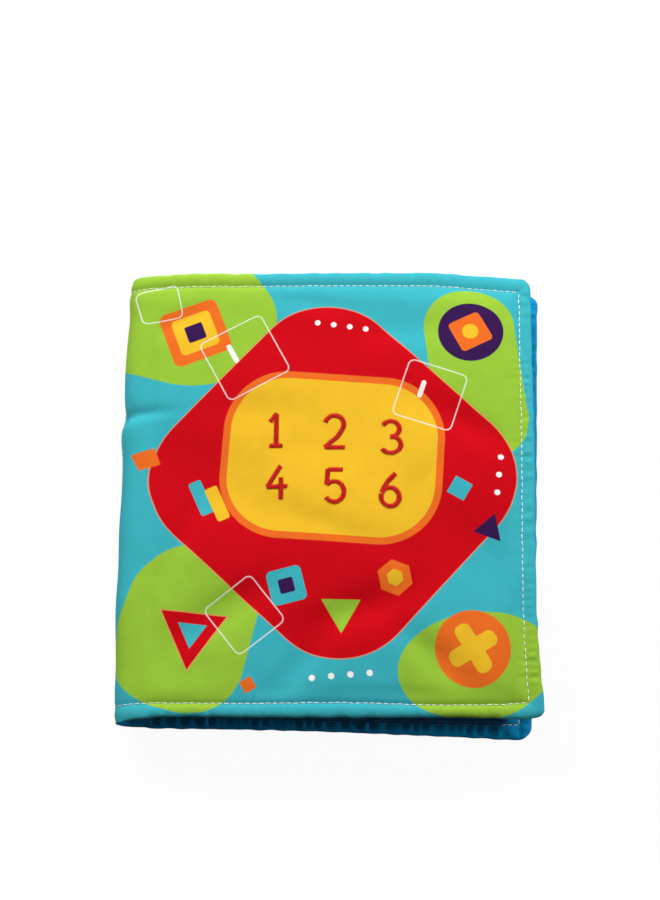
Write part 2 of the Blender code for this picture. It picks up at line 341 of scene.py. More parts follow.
def simulatedBillow(width, height):
    nx, ny = round(width / billow["cell"]), round(height / billow["cell"])
    scale = billow["scale"]
    xs, ys = np.linspace(0, width, nx + 1), np.linspace(0, height, ny + 1)
    x, y = np.meshgrid(xs, ys, indexing="ij")
    inset = np.minimum(np.minimum(x, width - x), np.minimum(y, height - y))
    z = billow["start"] * drift(x, y, 5, billow["startSize"]) * smooth(inset / billow["startFade"])
    grid = np.arange((nx + 1) * (ny + 1)).reshape(nx + 1, ny + 1)
    quads = np.stack([grid[:-1, :-1], grid[1:, :-1], grid[1:, 1:], grid[:-1, 1:]], -1).reshape(-1, 4)
    mesh = bpy.data.meshes.new("billow")
    mesh.from_pydata((np.stack([x, y, z], -1) * scale).reshape(-1, 3).tolist(), [], quads.tolist())
    page = placed("billow", mesh)
    held = page.vertex_groups.new(name="held")
    held.add([int(k) for k in grid[inset < tiny]], 1.0, "REPLACE")
    cloth = page.modifiers.new("cloth", "CLOTH")
    rules = cloth.settings
    rules.vertex_group_mass = "held"
    rules.quality = billow["quality"]
    rules.bending_stiffness = billow["bending"]
    rules.tension_damping = rules.compression_damping = billow["damping"]
    rules.shrink_min = rules.shrink_max = -billow["excess"]
    rules.effector_weights.gravity = 0
    cloth.collision_settings.use_collision = False
    cloth.point_cache.frame_end = billow["frames"]
    scene = bpy.context.scene
    for frameNumber in range(1, billow["frames"] + 1):
        scene.frame_set(frameNumber)
    settled = page.evaluated_get(bpy.context.evaluated_depsgraph_get())
    z = np.array([vertex.co.z for vertex in settled.to_mesh().vertices]).reshape(nx + 1, ny + 1) / scale
    settled.to_mesh_clear()
    bpy.data.objects.remove(page)
    bpy.data.meshes.remove(mesh)
    scene.frame_set(1)
    return xs, ys, z


def softened(xs, ys, z):
    # The simulated heights on a finer grid, smoothed and brought to between about -1 and 1
    fineX, fineY = (np.linspace(line[0], line[-1], (len(line) - 1) * billow["smoothing"] + 1)
                    for line in (xs, ys))
    fine = np.stack([np.interp(fineX, xs, column) for column in z.T], 1)
    fine = np.stack([np.interp(fineY, ys, row) for row in fine], 0)
    kernel = np.hanning(billow["smoothing"] * 2 + 3)[1:-1]
    kernel = kernel / kernel.sum()
    margin = len(kernel) // 2

    def blurred(line):
        return np.convolve(np.pad(line, margin, "edge"), kernel, "valid")

    fine = np.apply_along_axis(blurred, 0, fine)
    fine = np.apply_along_axis(blurred, 1, fine)
    fine = fine - fine.mean()
    return fineX, fineY, fine / np.abs(fine).max()


pageWidth = pile["coverWidth"] - pile["stitchInset"]
pageHeight = pile["coverHeight"] - 2 * pile["stitchInset"]
billowX, billowY, billowZ = softened(*simulatedBillow(pageWidth, pageHeight))
print("cloth settled")


def billowAt(u, v):
    fx = np.clip(u / billowX[-1], 0, 1) * (len(billowX) - 1)
    fy = np.clip((v + pageHeight / 2) / pageHeight, 0, 1) * (len(billowY) - 1)
    i, j = np.minimum(fx.astype(int), len(billowX) - 2), np.minimum(fy.astype(int), len(billowY) - 2)
    a, b = fx - i, fy - j
    return (billowZ[i, j] * (1 - a) * (1 - b) + billowZ[i + 1, j] * a * (1 - b)
            + billowZ[i, j + 1] * (1 - a) * b + billowZ[i + 1, j + 1] * a * b)


# What each leaf face adds to the plain pad: swells of the filling and gathers along the stitches
relief = {
    "hidden": {"swell": 0.08 * mm, "size": 46 * mm, "gather": 0.05 * mm, "pucker": 0.06 * mm},
    "rim": {"swell": 0.10 * mm, "size": 46 * mm, "gather": 0.16 * mm, "pucker": 0.95 * mm},
    "shown": {"swell": 0.55 * mm, "size": 52 * mm, "gather": 0.10 * mm, "pucker": 0.26 * mm,
              "billow": 1.2 * mm, "puff": 0.7 * mm},
    "waveSize": 5.2 * mm, "steady": 0.7, "beat": 0.45, "beatSize": 31 * mm,
    "highest": 2.4 * mm, "deepest": 1.5 * mm,
    # Where each begins or lies, as a distance from the edge or the seam, and over how far
    "swellFrom": 7 * mm, "swellOver": 20 * mm, "seamFrom": 4 * mm, "seamOver": 22 * mm,
    "puffFrom": 6.5 * mm, "puffOver": 9 * mm, "gatherAt": 8.5 * mm, "gatherWidth": 2.6 * mm,
    "puckerAt": 3.2 * mm, "puckerWidth": 1.9 * mm,
}

# Soft folds in the cover: place, direction in degrees, then length, width and depth, all in mm
softFolds = (
    (50, -62, 38, 26, 8.0, 2.4), (86, -88, 60, 18, 7.0, 1.7), (118, -60, 26, 30, 9.0, 2.5),
    (150, -84, -34, 22, 7.5, 1.9), (62, 38, 8, 24, 9.0, 0.9), (166, 32, -22, 24, 8.0, 1.6),
    (132, 80, 12, 28, 8.0, 1.2), (30, -22, 75, 28, 7.0, 1.3), (180, -40, 84, 26, 6.5, 1.1),
    (96, 94, -6, 30, 6.0, 0.8), (24, 86, 36, 18, 6.0, 1.1), (134, -102, 4, 32, 4.5, 0.6),
    (104, -22, -14, 34, 7.5, 1.3), (70, -102, 12, 24, 4.5, 0.6), (150, 6, 64, 20, 6.0, 0.9),
)
foldSway, foldBeat = 2.0, 1.7


def foldedAt(u, v):
    total = 0.0
    for s, t, way, length, width, depth in softFolds:
        cos, sin = math.cos(math.radians(way)), math.sin(math.radians(way))
        along = (u / mm - s) * cos + (v / mm - t) * sin
        across = (v / mm - t) * cos - (u / mm - s) * sin
        across = across + foldSway * np.sin(along / length * foldBeat)
        total = total + depth * mm * np.exp(-(along / length) ** 2 - (across / width) ** 2)
    return total


def reliefAt(index, side, u, v, inset, kind):
    own, seed = relief[kind], index * 2 + (side > 0)

    def since(distance, name):
        return smooth((distance - relief[name + "From"]) / relief[name + "Over"])

    def band(name):
        return own[name] * np.exp(-((inset - relief[name + "At"]) / relief[name + "Width"]) ** 2)

    swell = own["swell"] * drift(u, v, seed, own["size"]) * (since(inset, "swell") * since(u, "seam"))
    if kind == "shown":
        raised = own["puff"] + own["billow"] * billowAt(u, v) - foldedAt(u, v)
        swell = swell + raised * since(inset, "puff")
    # The waves run along the nearest edge
    fore, end = insetsOf(index, u, v)
    t = np.where(end < fore, u, v + edges["sideShift"] * np.sign(u))
    beat = relief["steady"] + relief["beat"] * ripple(t, seed + 57, relief["beatSize"])
    wave = ripple(t, seed + 31, relief["waveSize"]) * beat
    total = swell + wave * (band("gather") + band("pucker"))
    most = np.where(total > 0, relief["highest"], relief["deepest"])
    return most * np.tanh(total / most)


def padSurface(index, side, u, v, kind=None):
    # Outer side of half a leaf, its inner side and the outward direction, for arrays of u and v
    kind = kind or ("rim" if index == 0 else "hidden")
    inset = np.minimum(*insetsOf(index, u, v))
    ru, rv = roundedCorner(index, *strayed(index, u, v))
    x, y, z, nx, nz = leafMiddle(index, ru, rv)
    dx, dy = edgeDrift(index, u, v)
    x, y = x + dx * smooth(u / edges["driftOver"]), y + dy
    half = np.minimum(eased(inset / mm, edgeProfile) * mm, rootHalfAt(u))
    half = half + reliefAt(index, side, u, v, inset, kind) * smooth(inset / edges["reliefOver"])
    place = np.stack([x + seam[0], y + seam[1], z], -1)
    normal = np.stack([nx * side, np.zeros_like(nx), nz * side], -1)
    outer = place + normal * half[..., None]
    inner = place + normal * edges["innerGap"]
    outer[..., 2] = np.maximum(outer[..., 2], 0.0)
    inner[..., 2] = np.maximum(inner[..., 2], edges["innerGap"])
    return outer, inner, normal


def closedPad(name, outer, inner, uv, rowKeep, columnKeep):
    # A fine outer side and a coarse inner side, which share their rim
    rows, columns = outer.shape[:2]
    grid = np.arange(rows * columns).reshape(rows, columns)
    quads = np.stack([grid[:-1, :-1], grid[:-1, 1:], grid[1:, 1:], grid[1:, :-1]], -1).reshape(-1, 4)
    within = np.ix_(rowKeep[1:-1], columnKeep[1:-1])
    under = grid.copy()
    under[within] = np.arange(under[within].size).reshape(under[within].shape) + rows * columns
    points = np.concatenate([outer.reshape(-1, 3), inner[within].reshape(-1, 3)])
    flat = np.concatenate([uv.reshape(-1, 2), uv[within].reshape(-1, 2)])
    faces = quads.tolist()
    for r0, r1 in zip(rowKeep[:-1], rowKeep[1:]):
        for c0, c1 in zip(columnKeep[:-1], columnKeep[1:]):
            low = list(grid[0, c0:c1]) if r0 == 0 else [under[r0, c0]]
            right = list(grid[r0:r1, columns - 1]) if c1 == columns - 1 else [under[r0, c1]]
            high = list(grid[rows - 1, c0 + 1:c1 + 1][::-1]) if r1 == rows - 1 else [under[r1, c1]]
            left = list(grid[r0 + 1:r1 + 1, 0][::-1]) if c0 == 0 else [under[r1, c0]]
            faces.append([int(k) for k in (low + right + high + left)][::-1])
    mesh = bpy.data.meshes.new(name)
    mesh.from_pydata(points.tolist(), [], faces)
    if signedVolume(points, quads) < 0:
        mesh.flip_normals()
    corners = np.empty(len(mesh.loops), np.int64)
    mesh.loops.foreach_get("vertex_index", corners)
    layer = mesh.uv_layers.new(name="cloth")
    layer.data.foreach_set("uv", flat[corners].ravel().astype(np.float32))
    mesh.shade_smooth()
    return placed(name, mesh)


def signedVolume(points, quads):
    # The outer side's faces seen from the pad's middle, so the sign tells whether they face out
    a, b, c, d = (points[quads[:, k]] - points.mean(0) for k in range(4))
    return float((np.cross(a, b) * c).sum() + (np.cross(a, c) * d).sum())


def coarse(lines, every, keepBelow=None):
    # Which grid lines the inner side keeps: every so many, and all of those near the spine
    kept = set(range(0, len(lines), every)) | {0, len(lines) - 1}
    if keepBelow is not None:
        kept |= set(np.nonzero(np.abs(lines) < keepBelow)[0].tolist())
    return sorted(kept)


def buildPad(name, surface, columns, rows, keep):
    u, v = np.meshgrid(columns, rows)
    outer, inner, _ = surface(u, v)
    kept = coarse(rows, keep), coarse(columns, keep, grids["keepNear"])
    return closedPad(name, outer, inner, np.stack([u, v], -1), *kept)


def buildHalf(name, index, side):
    cell = grids["rim" if index == 0 else "hidden"]
    columns = columnsOf(index, False, cell, grids["halfStart"])
    rows = rowsOf(index, False, cell)
    return buildPad(name, lambda u, v: padSurface(index, side, u, v), columns, rows, grids["halfKeep"])


# The cover's cloth is one piece: over the front, round the spine and under the back
spine = {
    "baseReach": 0.35 * mm,        # how far its inner side passes outside the seam
    "groove": 0.6 * mm, "grooveWidth": 0.9 * mm,  # where the spine seam draws it in
    "reaches": (                   # how far the roll stands out, from the lower to the upper end
        (-112, 0.5), (-110.5, 0.9), (-108, 1.4), (-104, 1.6), (-88, 1.7), (-55, 2.8), (-42, 2.3), (-18, 2.5),
        (0, 2.0), (16, 2.2), (31, 3.1), (39, 1.7), (48, 2.4), (80, 2.2), (90, 1.6), (109, 1.3), (112, 0.2)),
    "creaseAt": 36.5 * mm, "creaseLength": 35 * mm, "creaseDepth": 1.4 * mm, "creaseWidth": 3.0 * mm,
    "creaseSway": 2.5 * mm, "creaseBeat": 2.2,
    "noseRise": 1.1 * mm, "nosePull": 1.5 * mm,   # the fold's two bends
    "knee": 0.29 * mm, "kneeWidth": 11 * mm,      # softens the change of slope where the page begins
}

rootLines = np.linspace(rootStart, rootEnd, grids["rootSteps"])
rootX, _, rootZ, _, _ = leafMiddle(top, rootLines, rootLines * 0)
rootLength = np.concatenate([[0.0], np.cumsum(np.hypot(np.diff(rootX), np.diff(rootZ)))])
rootShare = rootStart + rootLength / rootLength[-1] * (rootEnd - rootStart)


def evenRoot(s):
    # Spreads the cloth evenly over the curve between the spine and the page
    near = (s > rootStart) & (s < rootEnd)
    return np.maximum(np.where(near, np.interp(s, rootShare, rootLines), s), rootStart)


def coverSurface(s, v):
    # s is the distance from the seam, above zero on the front cover and below it on the back
    front, frontIn, frontUp = padSurface(top, 1.0, evenRoot(s), v, "shown")
    back, backIn, backDown = padSurface(0, -1.0, evenRoot(-s), v)
    side = np.where(s >= 0, 1.0, -1.0)
    t = np.clip(np.abs(s) / rootStart, 0, 1)
    angle = math.radians(pile["rootAngles"][-1])
    ax, az = math.cos(angle), math.sin(angle)
    start, reach = rootStart, spine["baseReach"]
    pull = start - spine["nosePull"]
    xs = (-reach, -reach, ax * pull, ax * start)
    zs = (0.0, spine["noseRise"], az * pull, az * start)
    (bx, dx), (bz, dz) = bezier(t, *xs), bezier(t, *zs)
    length = np.hypot(dx, dz)
    mixed = (1 + np.clip(s / start, -1, 1)) / 2
    ends = edgeDrift(top, np.abs(s), v)[1] * mixed + edgeDrift(0, np.abs(s), v)[1] * (1 - mixed)
    y = v - 2 * v / pile["coverHeight"] * (pile["endBow"] * mixed) + ends
    inner = np.stack([bx + seam[0], y + seam[1], seam[2] + bz * side], -1)
    normal = np.stack([-dz / length, np.zeros_like(t), side * dx / length], -1)
    inset = pile["coverHeight"] / 2 - np.abs(v)
    swell = eased(inset / mm, edgeProfile) * mm / pile["crownHalf"]
    reaches = eased(v / mm, spine["reaches"]) * mm
    inNose = (np.abs(s) < start)[..., None]
    isFront = (s >= 0)[..., None]
    inside = np.where(inNose, inner, np.where(isFront, frontIn, backIn))
    outward = np.where(inNose, normal, np.where(isFront, frontUp, backDown))
    # The roll's thickness runs from its fullest at the fold to the leaf's own at the root's end
    away = smooth(np.abs(s) / rootEnd)
    puff = (reaches - reach) * (1 - away) + pile["spineHalf"] * away
    puff = (puff - spine["groove"] * np.exp(-(s / spine["grooveWidth"]) ** 2)) * swell
    rolled = inside + outward * puff[..., None]
    outer = np.where((np.abs(s) < rootEnd)[..., None], rolled, np.where(isFront, front, back))
    knee = spine["knee"] * np.clip(1 - np.abs(s - rootEnd) / spine["kneeWidth"], 0, 1) ** 2
    outer = outer + outward * knee[..., None]
    fade = 1 - smooth(np.abs(s) / spine["creaseLength"])
    middle = spine["creaseAt"] + spine["creaseSway"] * np.sin(s / spine["creaseLength"] * spine["creaseBeat"])
    dip = np.exp(-((v - middle) / spine["creaseWidth"]) ** 2)
    outer = outer - outward * np.where(s > 0, spine["creaseDepth"] * fade * dip, 0.0)[..., None]
    outer[..., 2] = np.maximum(outer[..., 2], 0.0)
    return outer, inside, outward


def buildCover():
    front = columnsOf(top, True, grids["cover"], rootStart)
    back = columnsOf(0, False, grids["hidden"], rootStart)
    nose = np.linspace(-1, 1, grids["noseLines"])[1:-1] * rootStart
    columns = np.concatenate([-back[::-1], nose, front])
    rows = rowsOf(top, True, grids["cover"])
    return buildPad("outer_cover", coverSurface, columns, rows, grids["coverKeep"])


# One small function adds a node: inputs by name or place, as a socket or a value
def addNode(tree, kind, inputs=None, **settings):
    node = tree.nodes.new(kind)
    for key, value in settings.items():
        setattr(node, key, value)
    for key, value in (inputs or {}).items():
        if isinstance(value, bpy.types.NodeSocket):
            tree.links.new(value, node.inputs[key])
        else:
            node.inputs[key].default_value = value
    return node


def linearColor(text):
    parts = [int(text[k:k + 2], 16) / 255 for k in (1, 3, 5)]
    parts = [p / 12.92 if p <= 0.04045 else ((p + 0.055) / 1.055) ** 2.4 for p in parts]
    return (*parts, 1.0)


# The navy ink is painted shade: the inner leaves' margins, which lie in the gap under the cover, are inked
# dark to look shaded
inks = {
    "teal": "#3CB3BF", "lime": "#98C53A", "red": "#CE0012", "yellow": "#F2BF29", "orange": "#EE6E22",
    "purple": "#36154F", "white": "#FCFCFA", "blue": "#0A93D0", "coral": "#E65A4E", "navy": "#0C4F7A",
    "peach": "#EF8B62", "crimson": "#CC0602",
}


def dressedMaterial(name, look, surface):
    # surface adds the material's own nodes and gives the height of its fine relief and its colour
    made = bpy.data.materials.new(name)
    made.use_nodes = True
    tree = made.node_tree
    shader = tree.nodes["Principled BSDF"]
    height, color = surface(tree)
    bump = addNode(tree, "ShaderNodeBump", {
        "Height": height, "Strength": look["bump"], "Distance": look["bumpDepth"]})
    tree.links.new(bump.outputs["Normal"], shader.inputs["Normal"])
    tree.links.new(color, shader.inputs["Base Color"])
    for label, value in look["shader"].items():
        shader.inputs[label].default_value = value
    return made


clothSettings = {
    "threadSpacing": 0.3 * mm, "napSize": 0.9 * mm, "napHeight": 0.7, "mottleSize": 9 * mm,
    "mottle": (0.965, 1.02), "fleck": (0.93, 1.045), "bump": 0.3, "bumpDepth": 0.1 * mm,
    "shader": {"Roughness": 0.86, "Sheen Weight": 0.03, "Sheen Roughness": 0.4, "Specular IOR Level": 0.08},
}


def clothMaterial(name, color):
    # Printed cotton percale, plain woven and brushed: matt, with a faint sheen and a fine grid
    look = clothSettings

    def surface(tree):
        uv = addNode(tree, "ShaderNodeUVMap", uv_map="cloth").outputs["UV"]
        waves = []
        for way in "XY":
            wave = addNode(tree, "ShaderNodeTexWave", {
                "Vector": uv, "Scale": math.tau / (20 * look["threadSpacing"]),
                "Distortion": 1.2, "Detail": 1.0, "Detail Scale": 1.5}, bands_direction=way)
            waves.append(wave.outputs["Fac"])
        weave = addNode(tree, "ShaderNodeMath", {0: waves[0], 1: waves[1]}, operation="MULTIPLY").outputs[0]
        nap = addNode(tree, "ShaderNodeTexNoise", {"Vector": uv, "Scale": 1 / look["napSize"], "Detail": 3.0})
        mottle = addNode(tree, "ShaderNodeTexNoise", {
            "Vector": uv, "Scale": 1 / look["mottleSize"], "Detail": 2.0})
        height = addNode(tree, "ShaderNodeMath", {0: nap.outputs["Fac"], 1: look["napHeight"], 2: weave},
                         operation="MULTIPLY_ADD").outputs[0]
        shade = addNode(tree, "ShaderNodeMapRange", {
            "Value": mottle.outputs["Fac"], "From Min": 0.3, "From Max": 0.7,
            "To Min": look["mottle"][0], "To Max": look["mottle"][1]})
        fleck = addNode(tree, "ShaderNodeMapRange", {
            "Value": height, "From Min": 0.2, "From Max": 1.0,
            "To Min": look["fleck"][0], "To Max": look["fleck"][1]})
        both = addNode(tree, "ShaderNodeMath", {0: shade.outputs[0], 1: fleck.outputs[0]},
                       operation="MULTIPLY")
        tint = addNode(tree, "ShaderNodeVectorMath", {0: color(tree, uv), "Scale": both.outputs[0]},
                       operation="SCALE")
        return height, tint.outputs[0]

    return dressedMaterial(name, look, surface)


threadLook = {"twist": 0.5 * mm, "slant": math.radians(40), "plyShade": (0.86, 1.0),
              "bump": 0.5, "bumpDepth": 0.08 * mm, "shader": {"Roughness": 0.5, "Specular IOR Level": 0.2}}


def threadMaterial(name, ink):
    # Spun thread, polyester or rayon: a soft gloss, with its plies as a slanting ripple
    look = threadLook

    def surface(tree):
        place = addNode(tree, "ShaderNodeTexCoord").outputs["Object"]
        slanted = addNode(tree, "ShaderNodeMapping", {"Vector": place, "Rotation": (0, 0, look["slant"])})
        plies = addNode(tree, "ShaderNodeTexWave", {
            "Vector": slanted.outputs[0], "Scale": math.tau / (20 * look["twist"])}, bands_direction="X")
        shade = addNode(tree, "ShaderNodeMapRange", {
            "Value": plies.outputs["Fac"], "To Min": look["plyShade"][0], "To Max": look["plyShade"][1]})
        tint = addNode(tree, "ShaderNodeVectorMath", {
            0: linearColor(inks[ink])[:3], "Scale": shade.outputs[0]}, operation="SCALE")
        return plies.outputs["Fac"], tint.outputs[0]

    return dressedMaterial(name, look, surface)


def stitchTree():
    # Geometry Nodes: one rounded stitch after another along the runs of a path
    tree = bpy.data.node_groups.new("stitch_run", "GeometryNodeTree")
    tree.interface.new_socket("Geometry", in_out="INPUT", socket_type="NodeSocketGeometry")
    for label in ("Pitch", "Length", "Width", "Height", "Turn"):
        tree.interface.new_socket(label, in_out="INPUT", socket_type="NodeSocketFloat")
    tree.interface.new_socket("Seed", in_out="INPUT", socket_type="NodeSocketInt")
    tree.interface.new_socket("Material", in_out="INPUT", socket_type="NodeSocketMaterial")
    tree.interface.new_socket("Geometry", in_out="OUTPUT", socket_type="NodeSocketGeometry")
    given = addNode(tree, "NodeGroupInput").outputs
    curve = addNode(tree, "GeometryNodeMeshToCurve", {"Mesh": given["Geometry"]}).outputs[0]
    spaced = addNode(tree, "GeometryNodeResampleCurve", {"Curve": curve, "Length": given["Pitch"]},
                     mode="LENGTH")
    ball = addNode(tree, "GeometryNodeMeshUVSphere", {"Segments": 6, "Rings": 4, "Radius": 0.5})
    ball = ball.outputs["Mesh"]
    lying = addNode(tree, "GeometryNodeTransform", {0: ball, "Rotation": (0, math.pi / 2, 0)}).outputs[0]
    size = addNode(tree, "ShaderNodeCombineXYZ", {0: given["Length"], 1: given["Width"], 2: given["Height"]})
    stitch = addNode(tree, "GeometryNodeTransform", {0: lying, "Scale": size.outputs[0]}).outputs[0]
    tangent = addNode(tree, "GeometryNodeInputTangent").outputs[0]
    up = addNode(tree, "GeometryNodeInputNamedAttribute", {"Name": "up"}, data_type="FLOAT_VECTOR").outputs[0]
    along = addNode(tree, "FunctionNodeAlignRotationToVector", {"Vector": tangent}, axis="X")
    upright = addNode(tree, "FunctionNodeAlignRotationToVector", {
        "Rotation": along.outputs[0], "Vector": up}, axis="Z", pivot_axis="X")
    sway = addNode(tree, "FunctionNodeRandomValue", {"Min": -0.04, "Max": 0.04, "Seed": given["Seed"]},
                   data_type="FLOAT").outputs[1]
    angle = addNode(tree, "ShaderNodeMath", {0: sway, 1: given["Turn"]}, operation="ADD").outputs[0]
    spin = addNode(tree, "FunctionNodeAxisAngleToRotation", {"Axis": (0, 0, 1), "Angle": angle}).outputs[0]
    turned = addNode(tree, "FunctionNodeRotateRotation", {
        "Rotation": upright.outputs[0], "Rotate By": spin}, rotation_space="LOCAL").outputs[0]
    stretch = addNode(tree, "FunctionNodeRandomValue", {"Min": 0.92, "Max": 1.06, "Seed": given["Seed"]},
                      data_type="FLOAT").outputs[1]
    stitches = addNode(tree, "GeometryNodeInstanceOnPoints", {
        "Points": spaced.outputs[0], "Instance": stitch, "Rotation": turned, "Scale": stretch}).outputs[0]
    real = addNode(tree, "GeometryNodeRealizeInstances", {0: stitches}).outputs[0]
    smoothed = addNode(tree, "GeometryNodeSetShadeSmooth", {0: real}).outputs[0]
    finished = addNode(tree, "GeometryNodeSetMaterial", {0: smoothed, "Material": given["Material"]})
    addNode(tree, "NodeGroupOutput", {0: finished.outputs[0]})
    return tree


runningStitch = {"Pitch": 3.2 * mm, "Length": 2.7 * mm, "Width": 0.5 * mm, "Height": 0.46 * mm, "Turn": 0.0}
satinStitch = {"Pitch": 0.46 * mm, "Length": 2.8 * mm, "Width": 0.6 * mm, "Height": 0.38 * mm,
               "Turn": math.radians(84)}
stitchRise = 0.22       # how far a stitch's middle stands over the cloth, as a share of its height
stitchFrom = 6 * mm     # from the seam to the first hole of a leaf's topstitch
stitchNodes = stitchTree()
whiteThread = threadMaterial("polyester_thread_white", "white")


def threadPiece(name, runs, look, material, seed):
    # runs are (places, outward directions). Each becomes a row of stitches, all in one mesh.
    places, ups, links = [], [], []
    for run, up in runs:
        links += [(len(places) + k, len(places) + k + 1) for k in range(len(run) - 1)]
        places += run.tolist()
        ups += up.tolist()
    mesh = bpy.data.meshes.new(name + "_path")
    mesh.from_pydata(places, links, [])
    mesh.attributes.new("up", "FLOAT_VECTOR", "POINT").data.foreach_set("vector", np.array(ups).ravel())
    path = placed(name + "_path", mesh)
    modifier = path.modifiers.new("stitches", "NODES")
    modifier.node_group = stitchNodes
    sockets = {item.name: item.identifier for item in stitchNodes.interface.items_tree
               if item.in_out == "INPUT"}
    for label, value in {**look, "Seed": seed, "Material": material}.items():
        modifier[sockets[label]] = value
    bpy.context.view_layer.update()
    graph = bpy.context.evaluated_depsgraph_get()
    made = placed(name, bpy.data.meshes.new_from_object(path.evaluated_get(graph)))
    made.data.name = name
    bpy.data.objects.remove(path)
    return made


def stitchRun(surface, u, v, look, extra=0.0):
    outer, _, up = surface(*np.broadcast_arrays(u, v))
    return outer + up * (look["Height"] * stitchRise + extra), up


def stitchFrame(index, look):
    # Where a leaf's topstitch runs, from the seam and from the middle line, and half a stitch
    width, height = leafSize(index)
    return width - pile["stitchInset"], height / 2 - pile["stitchInset"], look["Pitch"] / 2


def leafRuns(surface, index, look):
    # Three runs round a leaf's open edges, each half a stitch short, so that corners meet in a hole
    fore, end, gap = stitchFrame(index, look)
    along, across = np.arange(stitchFrom, fore - gap, mm), np.arange(gap - end, end - gap, mm)
    along, across = np.append(along, fore - gap), np.append(across, end - gap)
    return [stitchRun(surface, u, v, look) for u, v in ((along, -end), (fore, across), (along, end))]


# The print is plain shapes, in millimetres from the seam and from the middle line, drawn in order.
# kind, centre, half size or radii, ink, turn in degrees and a box's corner radius. An outline has a
# line's width, and alpha is how much of a shape shows.
def shape(kind, at, size, ink, turn=0.0, corner=0.3, line=0.0, alpha=1.0):
    return {"kind": kind, "at": at, "size": size, "ink": ink, "turn": turn, "corner": corner,
            "line": line, "alpha": alpha}


def overprinted(*drawn):
    # Where inks meet, a thin lighter line runs round the upper one
    grown = []
    for base in drawn:
        more = 0 if base["kind"] == "gon" else 0.5
        grown.append({**base, "size": (base["size"][0] + 0.5, base["size"][1] + more),
                      "corner": base["corner"] + 0.5, "ink": "peach", "alpha": 0.8})
    return [*grown, *drawn]


def outlined(at, half, turn):
    return shape("box", at, (half, half), "white", turn, 3, line=0.6, alpha=0.66)


def dots(start, step, count, radius, ink="white"):
    return [shape("disc", (start[0] + step[0] * k, start[1] + step[1] * k), (radius, radius), ink)
            for k in range(count)]


coverShapes = [
    shape("disc", (30, 88), (44, 36), "lime", -12),
    shape("box", (172, 58), (22, 46), "lime", 7, 21),
    shape("box", (34, -70), (30, 40), "lime", -14, 26),
    shape("disc", (170, -88), (38, 25), "lime", 8),
    *overprinted(shape("box", (102, 4), (73, 75), "red", 47, 38)),
    shape("box", (102, 14), (54.5, 42.5), "orange", -4, 31),
    shape("box", (102, 14), (51, 39), "yellow", -4, 27.5),
    shape("box", (33, 80), (15, 15), "orange", 20, 4),
    shape("box", (33, 80), (10, 10), "yellow", 20, 2.5),
    shape("box", (33, 80), (4.6, 4.6), "purple", 20, 1),
    shape("disc", (170, 80), (16, 16), "purple"),
    shape("box", (170, 80), (8.4, 8.4), "orange", 28, 2),
    shape("disc", (170, 80), (4, 4), "yellow"),
    *overprinted(shape("gon", (35, -72), (9, 3), "red", 84)),
    shape("gon", (35, -72), (4, 3), "teal", 84),
    shape("box", (62, -97), (3, 3), "orange", 30, 0.8),
    shape("disc", (168, -80), (18, 18), "orange"),
    shape("box", (168, -80), (12.5, 4), "yellow", 30, 3.4),
    shape("box", (168, -80), (4, 12.5), "yellow", 30, 3.4),
    shape("box", (80, -50), (8.5, 8.5), "teal", 14, 2.6),
    shape("box", (80, -50), (3.6, 3.6), "purple", 14, 1),
    shape("gon", (106, -62), (5.4, 3), "lime", -30),
    shape("gon", (132, -46), (7.6, 6), "orange", 10),
    shape("gon", (132, -46), (3.6, 6), "yellow", 10),
    shape("box", (38, -6), (3.2, 9), "teal", 24, 1.2),
    shape("box", (46, -9), (3.2, 9), "yellow", 24, 1.2),
    shape("gon", (164, -2), (4.6, 4), "teal", 60),
    shape("gon", (178, -22), (4, 3), "purple", 10),
    shape("gon", (12, 14), (4.4, 4), "orange", 20),
    outlined((58, 66), 17, 28), outlined((150, 46), 15, -18),
    outlined((60, -64), 14, 38), outlined((16, 96), 9, 12),
    shape("box", (52, 68), (5.4, 1.3), "white", 118, 1.3, alpha=0.9),
    shape("box", (146, 49), (4.6, 1.2), "white", 72, 1.2, alpha=0.9),
    *dots((92, -94), (9, 0.8), 4, 1.5), *dots((184, 14), (-1, -9), 3, 1.4), *dots((94, 84), (8, -1), 4, 1.4),
    shape("disc", (-100, 0), (58, 58), "lime"),
    shape("disc", (-100, 0), (40, 40), "red"),
    shape("disc", (-100, 0), (22, 22), "yellow"),
]


